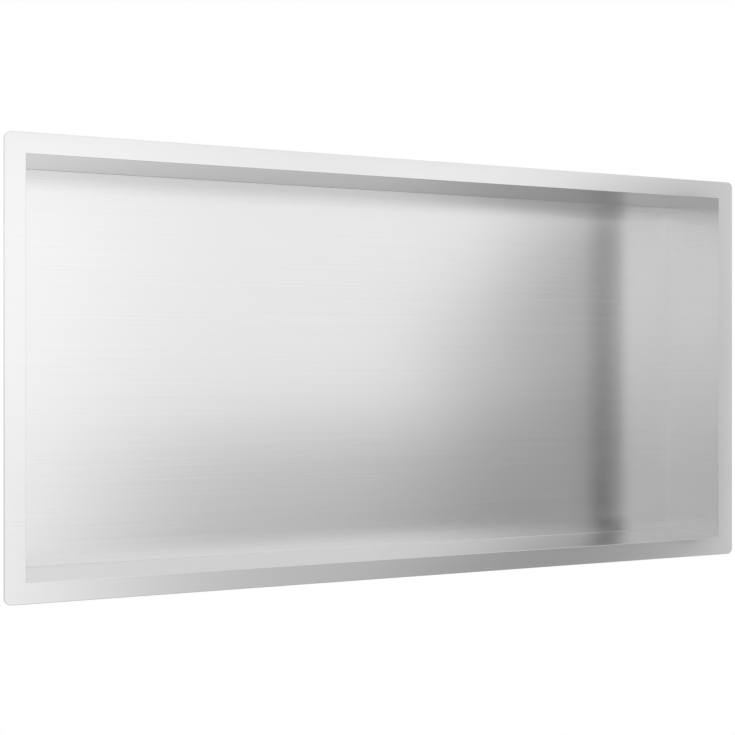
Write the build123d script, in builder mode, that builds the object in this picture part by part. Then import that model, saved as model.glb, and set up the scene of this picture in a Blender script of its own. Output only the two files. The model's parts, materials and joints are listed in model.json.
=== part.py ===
"""Recessed shower niche: one stainless-steel sheet folded into an open box with a flat front flange.

The niche is set in a cut-out in a wall. Its floor is the shelf, and the flange covers the edge of the cut-out.
The sheet is grooved along its folds, so that they are crisp on the side that shows.

Frame: +X to the right as the user faces the niche, +Y into the wall, +Z up. The origin is the centre of the
opening, in the plane of the flange's rear face, which is the surface of the finished wall. Millimetres.
"""

import os

from build123d import *

# Driving dimensions
opening_width = 600.0  # clear width between the side walls
opening_height = 300.0  # clear height from the floor to the ceiling
overall_depth = 75.0  # from the flange's front face to the back panel's rear face
flange_width = 15.0  # from a wall's inner face to the flange's outer edge
sheet = 1.2  # thickness of the steel sheet
fold_radius = 0.2  # radius of every fold on the side that shows
corner_radius = 5.0  # rounding of the flange's outer corners
edge_round = 0.4  # broken front edge of the flange
weld_proud = 0.5  # how far a corner weld stands out from the walls' outer faces

# Planes of the folded section, seen along X through the ceiling
ceiling = opening_height / 2
ceiling_outside = ceiling + sheet
flange_edge = ceiling + flange_width
flange_front = -sheet
back_outside = overall_depth - sheet
back_inside = back_outside - sheet
rear_fold_outside = fold_radius + sheet

# The strip that is swept round the opening ends in the back panel, past the rear fold
back_lip = 2 * rear_fold_outside
lip_end = ceiling - back_lip

# Weld beads in the outer corners, where the mitred walls meet
weld_seat = sheet / 3
weld_radius = weld_seat + weld_proud
weld_spacing_x = opening_width + 2 * (sheet - weld_seat)
weld_spacing_z = opening_height + 2 * (sheet - weld_seat)
weld_length = back_outside - rear_fold_outside

with BuildPart() as niche_shell:
    # Flange, wall and the edge of the back panel, as one folded strip
    with BuildSketch(Plane.YZ) as folded_strip:
        with BuildLine():
            Polyline(
                (flange_front, flange_edge),
                (flange_front, ceiling),
                (back_inside, ceiling),
                (back_inside, lip_end),
                (back_outside, lip_end),
                (back_outside, ceiling_outside),
                (0, ceiling_outside),
                (0, flange_edge),
                close=True,
            )
        make_face()
        show_folds = folded_strip.vertices().group_by(Axis.Y)[1]
        fillet(show_folds, radius=fold_radius)
        rear_fold = folded_strip.vertices().group_by(Axis.X)[-1].sort_by(Axis.Y)[-1]
        fillet(rear_fold, radius=rear_fold_outside)

    # The strip runs round the opening, mitred at the four corners
    with BuildLine(Plane.XZ) as opening_rim:
        Polyline(
            (0, ceiling),
            (opening_width / 2, ceiling),
            (opening_width / 2, -ceiling),
            (-opening_width / 2, -ceiling),
            (-opening_width / 2, ceiling),
            (0, ceiling),
        )
    sweep(transition=Transition.RIGHT)

    # Back panel, between the edges that came with the walls
    with BuildSketch(Plane.XZ.offset(-back_inside)) as back_panel:
        Rectangle(opening_width - 2 * back_lip, opening_height - 2 * back_lip)
    extrude(amount=-sheet)

    # Corner welds, from the flange to the rear folds
    with BuildSketch(Plane.XZ) as weld_sections:
        with GridLocations(weld_spacing_x, weld_spacing_z, 2, 2):
            Circle(weld_radius)
    extrude(amount=-weld_length)

    # Rounded outer corners of the flange, and its broken front edge
    outer_corners = niche_shell.edges().filter_by(Axis.Y).sort_by(lambda edge: abs(edge.center().X))[-4:]
    fillet(outer_corners, radius=corner_radius)
    front_rim = niche_shell.faces().filter_by(Axis.Y).sort_by(Axis.Y)[0].outer_wire()
    fillet(front_rim.edges(), radius=edge_round)

niche_shell.part.label = "niche_shell"
os.makedirs("parts", exist_ok=True)
export_step(niche_shell.part, "parts/niche_shell.step")
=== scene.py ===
"""Recessed shower niche of brushed stainless steel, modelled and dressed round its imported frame.

One sheet of steel is folded into a back panel, four walls and a flat front flange, and its four corners are
welded. This script models that sheet with its folds and weld beads, gives each of its faces a finish, and
sets the niche in a plain white studio.

Metres. +X is to the right as the user faces the niche, +Y goes into the wall and +Z is up.
"""

import json
import logging
import math
from collections.abc import Callable
from dataclasses import dataclass, replace
from enum import Enum
from itertools import product

import bmesh
import bpy
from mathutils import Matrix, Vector

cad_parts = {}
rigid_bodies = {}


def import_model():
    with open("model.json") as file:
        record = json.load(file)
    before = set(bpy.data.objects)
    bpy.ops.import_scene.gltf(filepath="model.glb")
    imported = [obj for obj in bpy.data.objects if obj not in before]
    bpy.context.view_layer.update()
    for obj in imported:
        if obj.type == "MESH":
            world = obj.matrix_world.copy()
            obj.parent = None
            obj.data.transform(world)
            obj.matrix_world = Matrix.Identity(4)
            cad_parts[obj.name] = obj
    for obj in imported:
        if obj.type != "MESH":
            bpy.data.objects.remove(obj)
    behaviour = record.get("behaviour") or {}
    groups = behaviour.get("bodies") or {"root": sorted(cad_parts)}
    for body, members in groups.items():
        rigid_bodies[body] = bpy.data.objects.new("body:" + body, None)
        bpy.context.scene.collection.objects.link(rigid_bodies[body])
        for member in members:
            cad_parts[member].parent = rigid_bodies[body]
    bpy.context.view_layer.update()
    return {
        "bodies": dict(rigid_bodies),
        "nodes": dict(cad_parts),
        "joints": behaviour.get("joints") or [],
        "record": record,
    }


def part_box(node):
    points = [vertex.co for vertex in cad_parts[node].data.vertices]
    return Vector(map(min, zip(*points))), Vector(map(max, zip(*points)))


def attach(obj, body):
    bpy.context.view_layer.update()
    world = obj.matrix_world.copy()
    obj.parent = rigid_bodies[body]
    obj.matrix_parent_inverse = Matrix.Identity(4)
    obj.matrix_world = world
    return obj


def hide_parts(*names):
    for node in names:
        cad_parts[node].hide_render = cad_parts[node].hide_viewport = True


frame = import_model()

LOG = logging.getLogger("shower_niche")
MILLIMETRE = 0.001
NEAR = 0.00005  # lengths that differ by less are the same
MERGE = NEAR / 50  # points closer than this are one
FACING = 0.99  # how much of its normal a face has on the axis that it looks along
SLANT = 0.05  # how much of its normal an upright fold's face has on X, at least
GRAIN_MAP = "grain"
# For each axis that a face may look along, the axes along and across its grain
GRAIN_AXES = {0: (1, 2), 1: (0, 2), 2: (0, 1)}

Wires = dict[str | int, object]


class SheetFace(Enum):
    """Faces of the folded sheet that have a finish of their own, in the order of the mesh's slots."""

    SHOW = 0
    HIDDEN = 1
    WELD = 2
    LEVEL_FOLD = 3
    UPRIGHT_FOLD = 4


class HeatBand(Enum):
    """Colours beside a weld: how far out each lies, as a share of the band's width, and its colour."""

    SCALE = (0.05, (0.34, 0.35, 0.38))
    BLUE = (0.24, (0.27, 0.36, 0.53))
    PURPLE = (0.42, (0.44, 0.34, 0.44))
    BROWN = (0.58, (0.56, 0.40, 0.24))
    STRAW = (0.78, (0.70, 0.58, 0.36))
    PALE = (0.95, (0.70, 0.66, 0.56))


# Modelling helpers


def deselect_all() -> None:
    """Leaves object mode's selection empty, so that the next operator acts on new work alone."""
    bpy.ops.object.select_all(action="DESELECT")


def make_active(piece: bpy.types.Object) -> None:
    """Makes one object the only selected and active one.

    Args:
        piece: The object that the next operators act on.
    """
    deselect_all()
    piece.select_set(True)
    bpy.context.view_layer.objects.active = piece


def close_to(value: float, target: float) -> bool:
    """Says if two lengths are the same to a twentieth of a millimetre.

    Args:
        value: A length.
        target: The length that it may be.

    Returns:
        True if they differ by less than NEAR.
    """
    return abs(value - target) < NEAR


def select_edges(piece: bpy.types.Object, wanted: Callable[[Vector, Vector], bool]) -> None:
    """Selects edges of a piece that is open in edit mode, by the places of their ends.

    Args:
        piece: The object in edit mode.
        wanted: Says of an edge's two end points if it is one of them.
    """
    bpy.ops.mesh.select_mode(type="EDGE")
    bpy.ops.mesh.select_all(action="DESELECT")
    mesh = bmesh.from_edit_mesh(piece.data)
    for edge in mesh.edges:
        if wanted(edge.verts[0].co, edge.verts[1].co):
            edge.select_set(True)
    bmesh.update_edit_mesh(piece.data)


def select_faces(piece: bpy.types.Object, wanted: Callable[[Vector, Vector], bool]) -> None:
    """Selects faces of a piece that is open in edit mode, by their centres and normals.

    Args:
        piece: The object in edit mode.
        wanted: Says of a face's centre and normal if it is one of them.
    """
    bpy.ops.mesh.select_mode(type="FACE")
    bpy.ops.mesh.select_all(action="DESELECT")
    mesh = bmesh.from_edit_mesh(piece.data)
    for face in mesh.faces:
        if wanted(face.calc_center_median(), face.normal):
            face.select_set(True)
    bmesh.update_edit_mesh(piece.data)


def apply_modifier(piece: bpy.types.Object, kind: str, **settings: object) -> None:
    """Adds one modifier to a piece and applies it.

    Args:
        piece: The object to finish.
        kind: The modifier's type, such as "SOLIDIFY".
        **settings: The modifier's own properties.
    """
    make_active(piece)
    modifier = piece.modifiers.new(kind.lower(), kind)
    for name, value in settings.items():
        setattr(modifier, name, value)
    bpy.ops.object.modifier_apply(modifier=modifier.name)


# Shader helpers


def new_material(name: str) -> bpy.types.Material:
    """Makes a material with the usual shader in place.

    Args:
        name: The material's name.

    Returns:
        The material.
    """
    made = bpy.data.materials.new(name)
    made.use_nodes = True
    return made


def new_group(name: str, numbers: tuple[str, ...], outputs: dict[str, str]) -> bpy.types.NodeTree:
    """Makes an empty shader node group with an input Vector and other named sockets.

    Args:
        name: The group's name.
        numbers: The names of its inputs that are plain numbers.
        outputs: Each output's socket type.

    Returns:
        The group, with its input and output nodes in place.
    """
    group = bpy.data.node_groups.new(name, "ShaderNodeTree")
    group.interface.new_socket("Vector", in_out="INPUT", socket_type="NodeSocketVector")
    for label in numbers:
        group.interface.new_socket(label, in_out="INPUT", socket_type="NodeSocketFloat")
    for label, kind in outputs.items():
        group.interface.new_socket(label, in_out="OUTPUT", socket_type=kind)
    group.nodes.new("NodeGroupInput").name = "in"
    group.nodes.new("NodeGroupOutput").name = "out"
    return group


def fill_inputs(tree: bpy.types.NodeTree, node: bpy.types.Node, wires: Wires) -> None:
    """Wires or fills a node's inputs.

    Args:
        tree: The node's tree.
        node: The node.
        wires: For each input, by name or number, an output socket to link or a plain value.
    """
    for key, value in wires.items():
        if isinstance(value, bpy.types.NodeSocket):
            tree.links.new(value, node.inputs[key])
        else:
            node.inputs[key].default_value = value


def add_node(
    tree: bpy.types.NodeTree,
    kind: str,
    wires: Wires | None = None,
    **settings: object,
) -> bpy.types.Node:
    """Adds one shader node, sets its properties and wires or fills its inputs.

    Args:
        tree: The node tree that gets the node.
        kind: The node's type without its "ShaderNode" prefix.
        wires: For each input, by name or number, an output socket to link or a plain value.
        **settings: The node's own properties.

    Returns:
        The new node.
    """
    node = tree.nodes.new("ShaderNode" + kind)
    for name, value in settings.items():
        setattr(node, name, value)
    fill_inputs(tree, node, wires or {})
    return node


def add_group(tree: bpy.types.NodeTree, group: bpy.types.NodeTree, wires: Wires) -> bpy.types.Node:
    """Places a shader group in a tree.

    Args:
        tree: The node tree that gets the group.
        group: The group.
        wires: For each input, by name or number, an output socket to link or a plain value.

    Returns:
        The new group node.
    """
    node = add_node(tree, "Group", node_tree=group)
    fill_inputs(tree, node, wires)
    return node


def add_math(tree: bpy.types.NodeTree, operation: str, *values: object) -> bpy.types.NodeSocket:
    """Adds one Math node.

    Args:
        tree: The node tree that gets the node.
        operation: The sum to do, such as "MULTIPLY_ADD".
        *values: The inputs in order, each a socket or a number.

    Returns:
        The node's output socket.
    """
    return add_node(tree, "Math", dict(enumerate(values)), operation=operation).outputs[0]


def add_ramp(
    tree: bpy.types.NodeTree,
    value: bpy.types.NodeSocket,
    span: tuple[object, object],
    levels: tuple[float, float],
) -> bpy.types.NodeSocket:
    """Adds a soft ramp from one level to another.

    Args:
        tree: The node tree that gets the ramp.
        value: What the ramp runs over.
        span: Where on that value the ramp starts and ends, each a socket or a number.
        levels: What the ramp puts out before its start and after its end.

    Returns:
        The ramp's output socket.
    """
    sizes = {
        "Value": value,
        "From Min": span[0],
        "From Max": span[1],
        "To Min": levels[0],
        "To Max": levels[1],
    }
    return add_node(tree, "MapRange", sizes, interpolation_type="SMOOTHSTEP").outputs[0]


@dataclass(frozen=True)
class NoiseLook:
    """How a noise is broken up."""

    detail: float
    roughness: float
    scale: float = 1.0
    distortion: float = 0.0

    def add(
        self,
        tree: bpy.types.NodeTree,
        place: bpy.types.NodeSocket,
        dimensions: str = "3D",
    ) -> bpy.types.NodeSocket:
        """Adds the noise to a tree.

        Args:
            tree: The node tree that gets the noise.
            place: The coordinates that it reads.
            dimensions: How many of them it uses, "2D" or "3D".

        Returns:
            The noise's value, which varies about NOISE_MIDDLE.
        """
        sizes = {
            "Vector": place,
            "Scale": self.scale,
            "Detail": self.detail,
            "Roughness": self.roughness,
            "Distortion": self.distortion,
        }
        return add_node(tree, "TexNoise", sizes, noise_dimensions=dimensions).outputs[0]


# Shared shader effects

NOISE_MIDDLE = 0.5
LINE_NOISE = NoiseLook(detail=2.0, roughness=0.55)
STREAK_NOISE = NoiseLook(detail=3.0, roughness=0.55)
WIPE_NOISE = NoiseLook(detail=4.0, roughness=0.6, distortion=0.8)
RAGGED_NOISE = NoiseLook(detail=3.0, roughness=0.6, scale=180.0)
LINE_SHIFT = 3.0  # how far apart two lines of the grain may start, in runs
RAGGED_REACH = 0.7  # how far a heat colour strays from its place, as a share of the band's width
HEAT_FADE = (0.35, 1.0)  # where the heat colours fade, as shares of the band's width
HEAT_STRENGTH = 0.65


def brush_grain_group() -> bpy.types.NodeTree:
    """Builds the grain that brushing or rolling leaves along the sheet's U axis.

    Returns:
        A group with the inputs Vector, Pitch, Run and Streak. Its outputs are the fine Lines and the
        broader Streaks, both about NOISE_MIDDLE.
    """
    outputs = {"Lines": "NodeSocketFloat", "Streaks": "NodeSocketFloat"}
    group = new_group("sheet_grain", ("Pitch", "Run", "Streak"), outputs)
    given = group.nodes["in"].outputs
    split = add_node(group, "SeparateXYZ", {0: given["Vector"]})
    along = add_math(group, "DIVIDE", split.outputs["X"], given["Run"])
    for label, width, look in (("Lines", "Pitch", LINE_NOISE), ("Streaks", "Streak", STREAK_NOISE)):
        across = add_math(group, "DIVIDE", split.outputs["Y"], given[width])
        row = {"W": across, "Scale": 1.0, "Detail": 0.0}
        shift = add_node(group, "TexNoise", row, noise_dimensions="1D")
        start = add_math(group, "MULTIPLY_ADD", shift.outputs[0], LINE_SHIFT, along)
        place = add_node(group, "CombineXYZ", {"X": start, "Y": across})
        group.links.new(look.add(group, place.outputs[0], "2D"), group.nodes["out"].inputs[label])
    return group


def wipe_marks_group() -> bpy.types.NodeTree:
    """Builds the broad, faint marks that hands and cloths leave on bare steel.

    Returns:
        A group with the inputs Vector and Size, and the output Marks, about NOISE_MIDDLE.
    """
    group = new_group("wipe_marks", ("Size",), {"Marks": "NodeSocketFloat"})
    given = group.nodes["in"].outputs
    shrink = add_math(group, "DIVIDE", 1.0, given["Size"])
    place = add_node(group, "VectorMath", {0: given["Vector"], "Scale": shrink}, operation="SCALE")
    group.links.new(WIPE_NOISE.add(group, place.outputs[0]), group.nodes["out"].inputs["Marks"])
    return group


def weld_heat_group(corner_x: float, corner_z: float) -> bpy.types.NodeTree:
    """Builds the colours that welding leaves on steel, in ragged bands along the box's four corner lines.

    Args:
        corner_x: Distance of the corner lines from the middle, along X.
        corner_z: Distance of the corner lines from the middle, along Z.

    Returns:
        A group with the inputs Vector and Width, and the outputs Tint and Mask.
    """
    group = new_group("weld_heat", ("Width",), {"Tint": "NodeSocketColor", "Mask": "NodeSocketFloat"})
    given = group.nodes["in"].outputs
    corner = (corner_x, 0.0, corner_z)
    side = add_node(group, "VectorMath", {0: given["Vector"]}, operation="ABSOLUTE")
    gap = add_node(group, "VectorMath", {0: side.outputs[0], 1: corner}, operation="SUBTRACT")
    level = add_node(group, "VectorMath", {0: gap.outputs[0], 1: (1.0, 0.0, 1.0)}, operation="MULTIPLY")
    reach = add_node(group, "VectorMath", {0: level.outputs[0]}, operation="LENGTH")
    share = add_math(group, "DIVIDE", reach.outputs["Value"], given["Width"])
    ragged = add_math(group, "SUBTRACT", RAGGED_NOISE.add(group, given["Vector"]), NOISE_MIDDLE)
    uneven = add_math(group, "MULTIPLY_ADD", ragged, RAGGED_REACH, share)
    bands = add_node(group, "ValToRGB", {"Fac": uneven})
    stops = bands.color_ramp.elements
    stops.remove(stops[-1])
    for heat in HeatBand:
        position, colour = heat.value
        stop = stops[0] if heat is HeatBand.SCALE else stops.new(position)
        stop.position = position
        stop.color = (*colour, 1.0)
    mask = add_ramp(group, uneven, HEAT_FADE, (HEAT_STRENGTH, 0.0))
    group.links.new(bands.outputs[0], group.nodes["out"].inputs["Tint"])
    group.links.new(mask, group.nodes["out"].inputs["Mask"])
    return group


def soft_patch_group() -> bpy.types.NodeTree:
    """Builds a rectangle with soft edges about its own centre, for the softboxes and flags of a light wall.

    Returns:
        A group that puts out Gain inside the rectangle and nothing outside it.
    """
    numbers = ("Half Width", "Half Height", "Soft Width", "Soft Height", "Gain")
    group = new_group("soft_patch", numbers, {"Light": "NodeSocketFloat"})
    given = group.nodes["in"].outputs
    place = add_node(group, "SeparateXYZ", {0: given["Vector"]})
    light = given["Gain"]
    for axis, side in (("X", "Width"), ("Z", "Height")):
        reach = add_math(group, "ABSOLUTE", place.outputs[axis])
        start = add_math(group, "SUBTRACT", given["Half " + side], given["Soft " + side])
        end = add_math(group, "ADD", given["Half " + side], given["Soft " + side])
        light = add_math(group, "MULTIPLY", light, add_ramp(group, reach, (start, end), (1.0, 0.0)))
    group.links.new(light, group.nodes["out"].inputs["Light"])
    return group


# Finishes

WIPE_SIZE = 0.09
QUARTER_TURN = 0.25
MIX_COLOURS = (6, 7)  # a Mix node's inputs for its two colours
MIX_RESULT = 2  # and its output for the mixed one


@dataclass(frozen=True)
class SheetEffects:
    """The shader groups that the steel's finishes share."""

    grain: bpy.types.NodeTree
    wipe: bpy.types.NodeTree
    heat: bpy.types.NodeTree


@dataclass(frozen=True)
class SheetFinish:
    """A rolled, brushed or welded face of the steel sheet."""

    name: str
    tone: float
    roughness: float
    anisotropy: float
    edge_tint: float
    pitch: float
    run: float
    streak: float
    streak_share: float
    tone_change: float
    roughness_change: float
    line_depth: float
    wipe_change: float
    heat_width: float = 0.0

    def material(self, effects: SheetEffects) -> bpy.types.Material:
        """Builds the finish.

        Args:
            effects: The shared shader groups.

        Returns:
            The material.
        """
        made = new_material(self.name)
        tree = made.node_tree
        shader = tree.nodes["Principled BSDF"]
        sheet_place = add_node(tree, "UVMap", uv_map=GRAIN_MAP).outputs[0]
        place = add_node(tree, "TexCoord").outputs["Object"]
        sizes = {"Pitch": self.pitch, "Run": self.run, "Streak": self.streak}
        grain = add_group(tree, effects.grain, {"Vector": sheet_place, **sizes})
        lines = grain.outputs["Lines"]
        fine = add_math(tree, "SUBTRACT", lines, NOISE_MIDDLE)
        broad = add_math(tree, "SUBTRACT", grain.outputs["Streaks"], NOISE_MIDDLE)
        change = add_math(tree, "MULTIPLY_ADD", broad, self.streak_share, fine)
        bump = {"Height": lines, "Distance": self.line_depth, "Strength": 1.0}
        tangent = add_node(tree, "Tangent", direction_type="UV_MAP", uv_map=GRAIN_MAP)
        wires = {
            "Base Color": self._colour(tree, effects, place, change),
            "Roughness": self._roughness(tree, effects, place, change),
            "Normal": add_node(tree, "Bump", bump).outputs[0],
            "Tangent": tangent.outputs[0],
            "Metallic": 1.0,
            "Specular Tint": (self.edge_tint, self.edge_tint, self.edge_tint, 1.0),
            "Anisotropic": self.anisotropy,
            "Anisotropic Rotation": QUARTER_TURN,
        }
        fill_inputs(tree, shader, wires)
        return made

    def _colour(
        self,
        tree: bpy.types.NodeTree,
        effects: SheetEffects,
        place: bpy.types.NodeSocket,
        change: bpy.types.NodeSocket,
    ) -> bpy.types.NodeSocket:
        """Adds the finish's tone, with its grain and the heat colours beside a weld.

        Args:
            tree: The material's tree.
            effects: The shared shader groups.
            place: Object coordinates.
            change: The grain, about 0.

        Returns:
            The colour.
        """
        tone = add_math(tree, "MULTIPLY_ADD", change, self.tone_change, self.tone)
        colour = add_node(tree, "CombineColor", {0: tone, 1: tone, 2: tone}).outputs[0]
        if not self.heat_width:
            return colour
        heat = add_group(tree, effects.heat, {"Vector": place, "Width": self.heat_width})
        plain, tinted = MIX_COLOURS
        both = {0: heat.outputs["Mask"], plain: colour, tinted: heat.outputs["Tint"]}
        return add_node(tree, "Mix", both, data_type="RGBA").outputs[MIX_RESULT]

    def _roughness(
        self,
        tree: bpy.types.NodeTree,
        effects: SheetEffects,
        place: bpy.types.NodeSocket,
        change: bpy.types.NodeSocket,
    ) -> bpy.types.NodeSocket:
        """Adds the finish's roughness, with its grain and wipe marks.

        Args:
            tree: The material's tree.
            effects: The shared shader groups.
            place: Object coordinates.
            change: The grain, about 0.

        Returns:
            The roughness.
        """
        grained = add_math(tree, "MULTIPLY_ADD", change, self.roughness_change, self.roughness)
        wipe = add_group(tree, effects.wipe, {"Vector": place, "Size": WIPE_SIZE})
        marks = add_math(tree, "SUBTRACT", wipe.outputs["Marks"], NOISE_MIDDLE)
        return add_math(tree, "MULTIPLY_ADD", marks, self.wipe_change, grained)


BRUSHED = SheetFinish(
    name="brushed_face",
    tone=0.80,
    roughness=0.185,
    anisotropy=0.2,
    edge_tint=0.92,
    pitch=0.0014,
    run=0.2,
    streak=0.007,
    streak_share=0.2,
    tone_change=0.055,
    roughness_change=0.03,
    line_depth=0.0000015,
    wipe_change=0.03,
)
MILLED = SheetFinish(
    name="mill_face",
    tone=0.66,
    roughness=0.3,
    anisotropy=0.4,
    edge_tint=0.85,
    pitch=0.001,
    run=0.2,
    streak=0.012,
    streak_share=1.0,
    tone_change=0.10,
    roughness_change=0.10,
    line_depth=0.000003,
    wipe_change=0.22,
    heat_width=0.011,
)
WELDED = SheetFinish(
    name="weld_bead",
    tone=0.6,
    roughness=0.32,
    anisotropy=0.0,
    edge_tint=0.85,
    pitch=0.0008,
    run=0.002,
    streak=0.004,
    streak_share=1.0,
    tone_change=0.14,
    roughness_change=0.14,
    line_depth=0.00001,
    wipe_change=0.1,
    heat_width=0.011,
)
FINISHES = {
    SheetFace.SHOW: BRUSHED,
    SheetFace.HIDDEN: MILLED,
    SheetFace.WELD: WELDED,
    # Copies of the brushed finish in other tones: level folds lighter, a painted highlight; upright folds
    # darker, a painted shade
    SheetFace.LEVEL_FOLD: replace(BRUSHED, name="fold_painted_highlight", tone=0.94),
    SheetFace.UPRIGHT_FOLD: replace(BRUSHED, name="fold_painted_shade", tone=0.75),
}


# The niche


@dataclass
class NicheShell:
    """The folded sheet: back panel, four walls, front flange and the weld beads in its corners."""

    half_width: float
    half_height: float
    front: float
    back: float
    flange: float
    sheet: float
    fold_radius: float = 0.2 * MILLIMETRE
    fold_steps: int = 6
    corner_radius: float = 5.0 * MILLIMETRE
    corner_steps: int = 10
    edge_round: float = 0.4 * MILLIMETRE
    edge_steps: int = 3
    ease_width: float = 15.0 * MILLIMETRE
    ease_angle: float = math.radians(2.5)
    ease_steps: int = 6
    weld_proud: float = 0.5 * MILLIMETRE
    weld_sides: int = 14
    ripple_pitch: float = 1.6 * MILLIMETRE
    ripple_valley: float = 0.86
    seam_radius: float = 0.22 * MILLIMETRE
    seam_sides: int = 18
    smooth_angle: float = math.radians(32)

    @classmethod
    def from_frame(cls, packed: dict) -> "NicheShell":
        """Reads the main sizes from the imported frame.


        Returns:
            The shell at the frame's size.
        """
        low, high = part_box("niche_shell")
        places = {mount["name"]: mount["pos_m"] for mount in packed["record"]["mounts"]}
        half_height = -places["shelf_floor"][2]
        flange = high.z - half_height
        return cls(
            half_width=high.x - flange,
            half_height=half_height,
            front=low.y,
            back=high.y,
            flange=flange,
            sheet=places["flange_back"][1] - low.y,
        )

    @property
    def panel(self) -> float:
        """Y of the back panel's show face."""
        return self.back - self.sheet

    @property
    def weld_seat(self) -> float:
        """How deep an outer weld's centre line lies in the sheet."""
        return self.sheet / 3

    @property
    def seam_outset(self) -> float:
        """How far outside the walls' inner faces a dressed bead's centre line lies."""
        return self.seam_radius / 4

    def build(self, materials: list[bpy.types.Material]) -> bpy.types.Object:
        """Models the shell.

        Args:
            materials: The finishes in the order of SheetFace.

        Returns:
            The finished mesh object, at the origin.
        """
        shell = self._back_panel(materials)
        self._raise_walls(shell)
        self._thicken(shell)
        self._round_folds(shell)
        self._ease_panel(shell)
        self._round_flange(shell)
        self._fuse_beads(shell, self._weld_bead(materials), self.sheet - self.weld_seat)
        self._fuse_beads(shell, self._dressed_bead(materials), self.seam_outset)
        self._finish(shell)
        return shell

    def _back_panel(self, materials: list[bpy.types.Material]) -> bpy.types.Object:
        """Adds the back panel's show face, which faces the user.

        Args:
            materials: The finishes in the order of SheetFace.

        Returns:
            The new object.
        """
        deselect_all()
        bpy.ops.mesh.primitive_plane_add(size=2.0, location=(0, self.panel, 0), rotation=(math.pi / 2, 0, 0))
        shell = bpy.context.object
        shell.name = "folded_niche"
        shell.data.name = shell.name
        shell.scale = (self.half_width, self.half_height, 1.0)
        bpy.ops.object.transform_apply(location=True, rotation=True, scale=True)
        for material in materials:
            shell.data.materials.append(material)
        return shell

    def _raise_walls(self, shell: bpy.types.Object) -> None:
        """Extrudes the panel's edges to the front as walls, and those edges outwards as the flange.

        The flange's sides go out to the rim first. Its top and bottom then take the corners with them.

        Args:
            shell: The back panel.
        """
        make_active(shell)
        bpy.ops.object.mode_set(mode="EDIT")
        select_edges(shell, lambda a, b: True)
        bpy.ops.mesh.extrude_edges_indiv()
        bpy.ops.transform.translate(value=(0, self.front - self.panel, 0))
        inner = self.flange / 3
        outer = self.flange - inner
        reach_x = self.half_width + inner
        reach_z = self.half_height + inner
        self._spread_rim((self.half_width, self.half_height), (inner, inner))
        select_edges(shell, lambda a, b: close_to(abs(a.x), reach_x) and close_to(a.x, b.x))
        self._spread_rim((reach_x, reach_z), (outer, 0.0))
        select_edges(shell, lambda a, b: close_to(abs(a.z), reach_z) and close_to(a.z, b.z))
        self._spread_rim((reach_x, reach_z), (0.0, outer))
        bpy.ops.mesh.select_all(action="SELECT")
        bpy.ops.mesh.normals_make_consistent(inside=False)
        bpy.ops.object.mode_set(mode="OBJECT")
        if max(shell.data.polygons, key=lambda face: face.center.y).normal.y > 0:
            shell.data.flip_normals()

    def _spread_rim(self, half: tuple[float, float], by: tuple[float, float]) -> None:
        """Extrudes the selected edges of the rim outwards, in the plane of the flange's front face.

        Args:
            half: Half the rim's width and height now.
            by: How far its sides move out, and its top and bottom.
        """
        bpy.ops.mesh.extrude_edges_indiv()
        spread = (1 + by[0] / half[0], 1.0, 1 + by[1] / half[1])
        bpy.ops.transform.resize(value=spread, center_override=(0, self.front, 0))

    def _thicken(self, shell: bpy.types.Object) -> None:
        """Gives the sheet its thickness, to the hidden side.

        Args:
            shell: The show side of the sheet.
        """
        apply_modifier(
            shell,
            "SOLIDIFY",
            thickness=self.sheet,
            offset=-1.0,
            use_even_offset=True,
            use_quality_normals=True,
            material_offset=SheetFace.HIDDEN.value,
            material_offset_rim=SheetFace.HIDDEN.value,
        )

    def _round_folds(self, shell: bpy.types.Object) -> None:
        """Bevels the folds: crisp on the show side, and a sheet's thickness wider behind the rear ones.

        The level folds of the show side take a lighter copy of the brushed finish, a painted highlight, and
        the upright ones a darker copy, a painted shade, so they differ.

        Args:
            shell: The sharp sheet, at its thickness.
        """
        make_active(shell)
        bpy.ops.object.mode_set(mode="EDIT")
        folds = (
            (0.0, self.front, self.fold_radius, SheetFace.LEVEL_FOLD),
            (0.0, self.panel, self.fold_radius, SheetFace.LEVEL_FOLD),
            (self.sheet, self.back, self.fold_radius + self.sheet, SheetFace.HIDDEN),
        )
        for outset, depth, radius, side in folds:
            corner = Vector((self.half_width + outset, depth, self.half_height + outset))
            select_edges(shell, lambda a, b, c=corner: self._at_corner(a, c) and self._at_corner(b, c))
            bpy.ops.mesh.bevel(
                offset=radius,
                segments=self.fold_steps,
                affect="EDGES",
                clamp_overlap=False,
                material=side.value,
            )
        bpy.ops.object.mode_set(mode="OBJECT")
        # Upright fold faces take the darker fold tone, a painted shade
        for face in shell.data.polygons:
            if face.material_index == SheetFace.LEVEL_FOLD.value and abs(face.normal.x) > SLANT:
                face.material_index = SheetFace.UPRIGHT_FOLD.value

    @staticmethod
    def _at_corner(point: Vector, corner: Vector) -> bool:
        """Says if a point is one of the four corners of a rectangle round the Y axis.

        Args:
            point: The point.
            corner: The rectangle's corner with the highest X and Z.

        Returns:
            True if it is one of them.
        """
        same_x = close_to(abs(point.x), corner.x)
        same_z = close_to(abs(point.z), corner.z)
        return same_x and same_z and close_to(point.y, corner.y)

    def _ease_panel(self, shell: bpy.types.Object) -> None:
        """Curves the back panel's margin forward into its folds, as springy sheet does beside a fold.

        Args:
            shell: The thick sheet with its folds.
        """
        make_active(shell)
        bpy.ops.object.mode_set(mode="EDIT")
        step = self.ease_width / self.ease_steps
        angles = [self.ease_angle * (1 - (ring + 0.5) / self.ease_steps) for ring in range(self.ease_steps)]
        drops = [step * math.tan(angle) for angle in angles]
        reach = self.fold_radius + NEAR

        def in_rear_fold(point: Vector) -> bool:
            """Says if a point is on the show side of the folds round the back panel."""
            inside = abs(point.x) < self.half_width + NEAR and abs(point.z) < self.half_height + NEAR
            return inside and -reach < point.y - self.panel < NEAR

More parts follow.
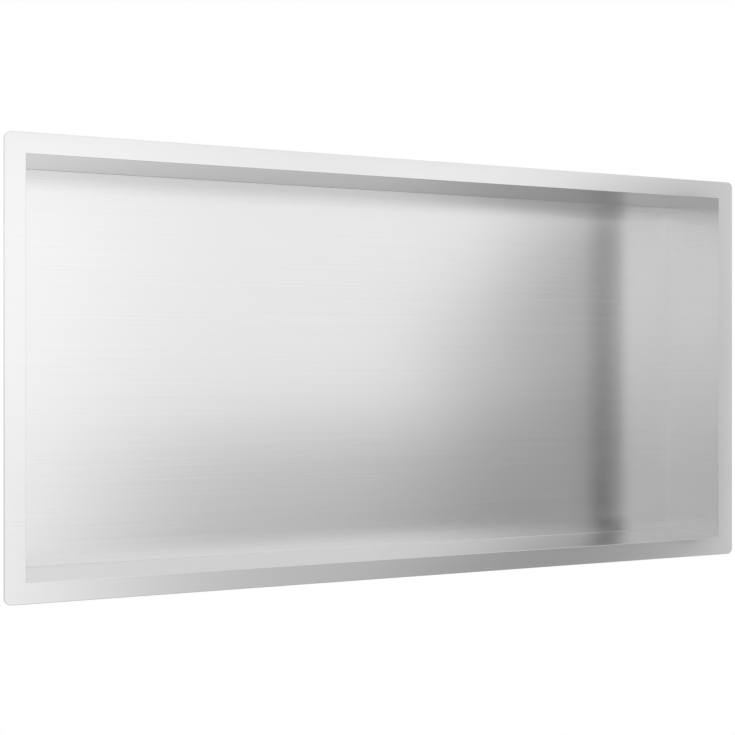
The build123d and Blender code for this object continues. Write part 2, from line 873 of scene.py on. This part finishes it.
        select_edges(shell, lambda a, b: in_rear_fold(a) and in_rear_fold(b))
        bpy.ops.transform.translate(value=(0, -sum(drops), 0))
        select_faces(shell, lambda centre, normal: normal.y < -FACING and centre.y > self.panel / 2)
        for drop in drops:
            bpy.ops.mesh.inset(thickness=step, depth=-drop)
        bpy.ops.object.mode_set(mode="OBJECT")

    def _round_flange(self, shell: bpy.types.Object) -> None:
        """Rounds the flange's outer corners and breaks its front edge.

        Args:
            shell: The thick sheet.
        """
        make_active(shell)
        bpy.ops.object.mode_set(mode="EDIT")
        outer_x = self.half_width + self.flange
        outer_z = self.half_height + self.flange

        def on_corner(point: Vector) -> bool:
            """Says if a point is at an outer corner of the flange."""
            return close_to(abs(point.x), outer_x) and close_to(abs(point.z), outer_z)

        def on_rim(point: Vector) -> bool:
            """Says if a point is on the flange's outer rim, in its front face."""
            past_walls = max(abs(point.x) - self.half_width, abs(point.z) - self.half_height)
            return close_to(point.y, self.front) and past_walls > self.flange / 2

        select_edges(shell, lambda a, b: on_corner(a) and on_corner(b))
        bpy.ops.mesh.bevel(offset=self.corner_radius, segments=self.corner_steps, affect="EDGES")
        select_edges(shell, lambda a, b: on_rim(a) and on_rim(b))
        bpy.ops.mesh.bevel(offset=self.edge_round, segments=self.edge_steps, affect="EDGES")
        bpy.ops.object.mode_set(mode="OBJECT")

    @staticmethod
    def _bar(name: str, radius: float, sides: int, ends: tuple[float, float]) -> bpy.types.Object:
        """Adds a round bar along the Y axis, from which a bead is made.

        Args:
            name: The bar's name.
            radius: Its radius.
            sides: How many sides stand for its round.
            ends: Y of its two ends.

        Returns:
            The bar.
        """
        deselect_all()
        bpy.ops.mesh.primitive_cylinder_add(
            vertices=sides,
            radius=radius,
            depth=ends[1] - ends[0],
            location=(0, sum(ends) / 2, 0),
            rotation=(math.pi / 2, 0, 0),
        )
        bar = bpy.context.object
        bar.name = name
        bpy.ops.object.transform_apply(location=True, rotation=True, scale=True)
        return bar

    def _weld_bead(self, materials: list[bpy.types.Material]) -> bpy.types.Object:
        """Models the bead of an outer corner, with a ripple each time the weld pool froze.

        Args:
            materials: The finishes in the order of SheetFace.

        Returns:
            The bead, centred on the Y axis.
        """
        start = -self.weld_seat
        end = self.panel - self.fold_radius
        bead = self._bar("weld_bead", self.weld_seat + self.weld_proud, self.weld_sides, (start, end))
        bpy.ops.object.mode_set(mode="EDIT")
        select_edges(bead, lambda a, b: abs(a.y - b.y) > self.ripple_pitch)
        rings = 2 * round((end - start) / self.ripple_pitch) - 1
        bpy.ops.mesh.subdivide(number_cuts=rings)
        step = (end - start) / (rings + 1)
        select_edges(bead, lambda a, b: close_to(a.y, b.y) and round((a.y - start) / step) % 2 == 0)
        valley = (self.ripple_valley, 1.0, self.ripple_valley)
        bpy.ops.transform.resize(value=valley, center_override=(0, 0, 0))
        bpy.ops.object.mode_set(mode="OBJECT")
        bead.data.materials.append(materials[SheetFace.WELD.value])
        return bead

    def _dressed_bead(self, materials: list[bpy.types.Material]) -> bpy.types.Object:
        """Models the fine bead that is left in an inner corner when its weld is ground and brushed.

        Args:
            materials: The finishes in the order of SheetFace.

        Returns:
            The bead, centred on the Y axis.
        """
        ends = (self.front + self.fold_radius, self.panel + self.sheet / 2)
        bead = self._bar("dressed_bead", self.seam_radius, self.seam_sides, ends)
        # The inner bead takes the lighter level fold tone, a painted highlight
        bead.data.materials.append(materials[SheetFace.LEVEL_FOLD.value])
        return bead

    def _fuse_beads(self, shell: bpy.types.Object, bead: bpy.types.Object, outset: float) -> None:
        """Fuses a copy of a bead into each corner of the box, and removes the bead.

        Args:
            shell: The rounded sheet.
            bead: The bead, centred on the Y axis.
            outset: How far outside the walls' inner faces its centre line lies.
        """
        for side, level in product((-1, 1), repeat=2):
            make_active(bead)
            bpy.ops.object.duplicate()
            weld = bpy.context.object
            weld.location = (side * (self.half_width + outset), 0, level * (self.half_height + outset))
            bpy.ops.object.transform_apply(location=True, rotation=False, scale=False)
            apply_modifier(
                shell,
                "BOOLEAN",
                operation="UNION",
                solver="EXACT",
                material_mode="TRANSFER",
                object=weld,
            )
            bpy.data.objects.remove(weld)
        bpy.data.objects.remove(bead)

    def _finish(self, shell: bpy.types.Object) -> None:
        """Smooths the folds while the flat faces stay flat, and lays out the grain over the sheet.

        Args:
            shell: The modelled shell.
        """
        make_active(shell)
        bpy.ops.object.mode_set(mode="EDIT")
        bpy.ops.mesh.select_all(action="SELECT")
        bpy.ops.mesh.remove_doubles(threshold=MERGE)
        bpy.ops.mesh.dissolve_degenerate(threshold=MERGE)
        bpy.ops.mesh.normals_make_consistent(inside=False)
        bpy.ops.object.mode_set(mode="OBJECT")
        bpy.ops.object.shade_smooth_by_angle(angle=self.smooth_angle)
        apply_modifier(shell, "WEIGHTED_NORMAL", mode="FACE_AREA", weight=100, keep_sharp=True)
        mesh = shell.data
        grain = mesh.uv_layers.new(name=GRAIN_MAP)
        for face in mesh.polygons:
            facing = max(GRAIN_AXES, key=lambda axis: abs(face.normal[axis]))
            along, across = GRAIN_AXES[facing]
            for corner in face.loop_indices:
                point = mesh.vertices[mesh.loops[corner].vertex_index].co
                grain.uv[corner].vector = (point[along], point[across])

    def dress(self, shell: bpy.types.Object) -> None:
        """Puts the shell in the frame in place of its plain solid.

        Args:
            shell: The finished shell.
        """
        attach(shell, "root")
        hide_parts("niche_shell")


# Light cards


def glow_material(
    name: str,
    light: Callable[[bpy.types.NodeTree], bpy.types.NodeSocket],
) -> bpy.types.Material:
    """Makes a material that only gives light.

    Args:
        name: The material's name.
        light: Adds the nodes of the light to the material's tree, and gives the socket with its level.

    Returns:
        The material.
    """
    made = new_material(name)
    tree = made.node_tree
    tree.nodes.remove(tree.nodes["Principled BSDF"])
    glow = add_node(tree, "Emission", {"Color": light(tree), "Strength": 1.0})
    tree.links.new(glow.outputs[0], tree.nodes["Material Output"].inputs["Surface"])
    return made


def stand_card(card: bpy.types.Object, sides: tuple[float, float], glow: bpy.types.Material) -> None:
    """Gives a new card its size, its light and that light's name, and shows it to polished faces alone.

    Args:
        card: A plane of unit size, in its place, the only one selected.
        sides: Its two sides.
        glow: Its light.
    """
    card.name = glow.name
    card.scale = (*sides, 1.0)
    bpy.ops.object.transform_apply(location=True, rotation=True, scale=True)
    card.data.materials.append(glow)
    card.visible_camera = False
    card.visible_diffuse = False
    card.visible_shadow = False


@dataclass(frozen=True)
class SoftPatch:
    """A softbox or a flag on a light wall: a soft-edged rectangle that adds light or takes it away.

    Its centre is in the wall's X and Z. Half and soft are half its sides and half its edges' widths, and
    turn is how far it leans, in degrees from X towards Z.
    """

    centre: tuple[float, float]
    half: tuple[float, float]
    soft: tuple[float, float]
    turn: float
    gain: float


@dataclass
class LightWall:
    """An upright lit card in front of the niche, or behind it, which only its polished faces see."""

    name: str
    distance: float
    left: float
    right: float
    low: float
    high: float
    level: float
    patches: tuple[SoftPatch, ...]

    def build(self, patch_group: bpy.types.NodeTree) -> None:
        """Sets up the wall.

        Args:
            patch_group: The shared group for soft rectangles.
        """
        deselect_all()
        middle = ((self.left + self.right) / 2, -self.distance, (self.low + self.high) / 2)
        bpy.ops.mesh.primitive_plane_add(size=1.0, location=middle, rotation=(-math.pi / 2, 0, 0))
        glow = glow_material(self.name, lambda tree: self._light(tree, patch_group))
        stand_card(bpy.context.object, (self.right - self.left, self.high - self.low), glow)

    def _light(self, tree: bpy.types.NodeTree, patch_group: bpy.types.NodeTree) -> bpy.types.NodeSocket:
        """Adds the wall's level and its softboxes and flags.

        Args:
            tree: The material's tree.
            patch_group: The shared group for soft rectangles.

        Returns:
            The light's level.
        """
        place = add_node(tree, "TexCoord").outputs["Object"]
        light = self.level
        for patch in self.patches:
            turned = {
                "Vector": place,
                "Location": (patch.centre[0], -self.distance, patch.centre[1]),
                "Rotation": (0.0, -math.radians(patch.turn), 0.0),
            }
            sizes = {
                "Vector": add_node(tree, "Mapping", turned, vector_type="TEXTURE").outputs[0],
                "Half Width": patch.half[0],
                "Half Height": patch.half[1],
                "Soft Width": patch.soft[0],
                "Soft Height": patch.soft[1],
                "Gain": patch.gain,
            }
            light = add_math(tree, "ADD", light, add_group(tree, patch_group, sizes).outputs["Light"])
        return add_math(tree, "MAXIMUM", light, 0.0)


@dataclass
class LevelCard:
    """A level card under or over the front of the niche, with one tone near it and another further out.

    Only the polished faces see it, most of all the folds.
    """

    name: str
    height: float
    left: float
    right: float
    front: float
    back: float
    ramp_end: float
    far_tone: float
    near_tone: float

    def build(self) -> None:
        """Sets up the card."""
        deselect_all()
        middle = ((self.left + self.right) / 2, (self.front + self.back) / 2, self.height)
        bpy.ops.mesh.primitive_plane_add(size=1.0, location=middle)
        glow = glow_material(self.name, self._light)
        stand_card(bpy.context.object, (self.right - self.left, self.back - self.front), glow)

    def _light(self, tree: bpy.types.NodeTree) -> bpy.types.NodeSocket:
        """Adds the card's tones.

        Args:
            tree: The material's tree.

        Returns:
            The light's level.
        """
        place = add_node(tree, "SeparateXYZ", {0: add_node(tree, "TexCoord").outputs["Object"]})
        span = (self.front, self.ramp_end)
        return add_ramp(tree, place.outputs["Y"], span, (self.far_tone, self.near_tone))


FRONT_WALL = LightWall(
    name="light_wall",
    distance=1.3,
    left=-2.8,
    right=3.2,
    low=-0.9,
    high=1.0,
    level=1.01,
    patches=(
        SoftPatch((0.78, -0.62), (0.69, 0.52), (0.31, 0.08), 4.0, -0.44),
        SoftPatch((0.98, -0.35), (0.25, 0.42), (0.22, 0.14), -31.0, -0.23),
        SoftPatch((1.45, 0.55), (0.91, 0.05), (0.05, 0.21), 41.0, -0.43),
        SoftPatch((-0.75, -0.26), (0.52, 0.08), (0.04, 0.43), 0.0, -0.74),
        SoftPatch((-0.23, 0.27), (0.29, 1.00), (0.28, 0.04), -19.0, 0.20),
        SoftPatch((-0.38, 1.08), (2.61, 0.63), (0.14, 0.04), 2.0, -0.40),
        SoftPatch((1.26, 0.16), (0.29, 0.22), (0.17, 0.04), 9.0, -0.36),
        SoftPatch((-0.61, -1.30), (2.90, 0.35), (0.15, 0.04), -37.0, -0.61),
        SoftPatch((0.85, 0.40), (0.86, 0.05), (0.28, 0.24), -8.0, 0.19),
        SoftPatch((-0.44, 0.05), (0.11, 1.30), (0.10, 0.30), -6.0, -0.32),
        SoftPatch((-2.10, 0.05), (0.75, 1.30), (0.25, 0.30), 0.0, -0.45),
    ),
)
REAR_WALL = LightWall(
    name="rear_wall",
    distance=-1.4,
    left=-3.0,
    right=3.0,
    low=-0.9,
    high=2.2,
    level=1.0,
    patches=(
        SoftPatch((0.0, -0.70), (3.20, 0.60), (0.20, 0.50), 0.0, -0.45),
        SoftPatch((-0.70, 0.40), (0.30, 1.80), (0.45, 0.30), -25.0, -0.30),
        SoftPatch((0.90, 0.50), (0.15, 1.80), (0.40, 0.30), -25.0, -0.20),
    ),
)
EDGE_FLAG = LightWall(
    name="edge_flag",
    distance=0.12,
    left=0.345,
    right=0.374,
    low=-0.167,
    high=0.167,
    level=0.25,
    patches=(SoftPatch((0.36, -0.20), (0.2, 0.15), (0.02, 0.15), 0.0, -0.2),),
)
LOW_FLAG = LevelCard(
    name="low_flag",
    height=-0.78,
    left=-2.8,
    right=3.2,
    front=-1.3,
    back=-0.03,
    ramp_end=-0.5,
    far_tone=0.6,
    near_tone=0.12,
)
HIGH_STRIP = LevelCard(
    name="high_strip",
    height=1.02,
    left=0.3,
    right=1.4,
    front=-1.3,
    back=-0.45,
    ramp_end=-0.5,
    far_tone=1.3,
    near_tone=1.3,
)


# The studio


@dataclass
class Studio:
    """Pale floor, white surroundings, an overhead softbox and the camera."""

    floor_level: float = -0.9
    floor_radius: float = 2.2
    floor_sides: int = 96
    floor_fade: float = 1.2
    floor_tone: float = 0.9
    floor_roughness: float = 0.9
    lamp_height: float = 1.7
    lamp_size: float = 2.0
    lamp_power: float = 30.0
    eye: tuple[float, float, float] = (-0.4461, -0.9239, 0.0005)
    turn: float = math.radians(-23.778)
    lens: float = 63.39
    sensor: float = 36.0

    def build(self) -> None:
        """Sets up the whole studio round the niche."""
        self._floor()
        self._surroundings()
        self._lamp()
        self._camera()

    def _floor(self) -> None:
        """Lays a pale round floor well under the niche, which runs out into the white round it."""
        deselect_all()
        bpy.ops.mesh.primitive_circle_add(
            vertices=self.floor_sides,
            radius=self.floor_radius,
            fill_type="NGON",
            location=(0, 0, self.floor_level),
        )
        floor = bpy.context.object
        floor.name = "floor"
        bpy.ops.object.transform_apply(location=True, rotation=False, scale=False)
        paint = new_material("pale_floor")
        tree = paint.node_tree
        shader = tree.nodes["Principled BSDF"]
        shader.inputs["Base Color"].default_value = (self.floor_tone, self.floor_tone, self.floor_tone, 1.0)
        shader.inputs["Roughness"].default_value = self.floor_roughness
        shader.inputs["Specular IOR Level"].default_value = 0.0
        place = add_node(tree, "TexCoord").outputs["Object"]
        level = add_node(tree, "VectorMath", {0: place, 1: (1.0, 1.0, 0.0)}, operation="MULTIPLY")
        reach = add_node(tree, "VectorMath", {0: level.outputs[0]}, operation="LENGTH")
        fade = add_ramp(tree, reach.outputs["Value"], (self.floor_fade, self.floor_radius), (0.0, 1.0))
        white = add_node(tree, "Emission", {"Strength": 1.0})
        both = add_node(tree, "MixShader", {0: fade, 1: shader.outputs[0], 2: white.outputs[0]})
        tree.links.new(both.outputs[0], tree.nodes["Material Output"].inputs["Surface"])
        floor.data.materials.append(paint)

    def _surroundings(self) -> None:
        """Makes everything past the floor plain white."""
        world = bpy.data.worlds.new("white_studio")
        world.use_nodes = True
        sky = world.node_tree.nodes["Background"]
        sky.inputs["Color"].default_value = (1.0, 1.0, 1.0, 1.0)
        sky.inputs["Strength"].default_value = 1.0
        bpy.context.scene.world = world

    def _lamp(self) -> None:
        """Hangs a softbox over the niche, which lays its shadow on the floor."""
        lamp = bpy.data.lights.new("overhead_softbox", "AREA")
        lamp.shape = "SQUARE"
        lamp.size = self.lamp_size
        lamp.energy = self.lamp_power
        holder = bpy.data.objects.new("overhead_softbox", lamp)
        holder.location = (0, 0, self.lamp_height)
        holder.visible_camera = False
        holder.visible_glossy = False
        bpy.context.scene.collection.objects.link(holder)

    def _camera(self) -> None:
        """Stands the camera level, to the left of the niche."""
        data = bpy.data.cameras.new("camera")
        data.sensor_width = self.sensor
        data.lens = self.lens
        camera = bpy.data.objects.new("camera", data)
        camera.location = self.eye
        camera.rotation_euler = (math.pi / 2, 0, self.turn)
        bpy.context.scene.collection.objects.link(camera)
        bpy.context.scene.camera = camera


def main() -> None:
    """Builds the niche and its studio, and reports each piece."""
    logging.basicConfig(level=logging.INFO, format="%(name)s: %(message)s")
    bpy.context.scene.view_settings.view_transform = "Standard"
    niche = NicheShell.from_frame(frame)
    heat = weld_heat_group(niche.half_width + niche.sheet, niche.half_height + niche.sheet)
    effects = SheetEffects(grain=brush_grain_group(), wipe=wipe_marks_group(), heat=heat)
    shell = niche.build([FINISHES[face].material(effects) for face in SheetFace])
    niche.dress(shell)
    LOG.info("%s: %d faces", shell.name, len(shell.data.polygons))
    patch_group = soft_patch_group()
    for wall in (FRONT_WALL, EDGE_FLAG, REAR_WALL):
        wall.build(patch_group)
        LOG.info("%s: %d patches", wall.name, len(wall.patches))
    for card in (LOW_FLAG, HIGH_STRIP):
        card.build()
        LOG.info("%s: level card", card.name)
    Studio().build()
    LOG.info("studio: floor, surroundings, softbox and camera")


if __name__ == "__main__":
    main()
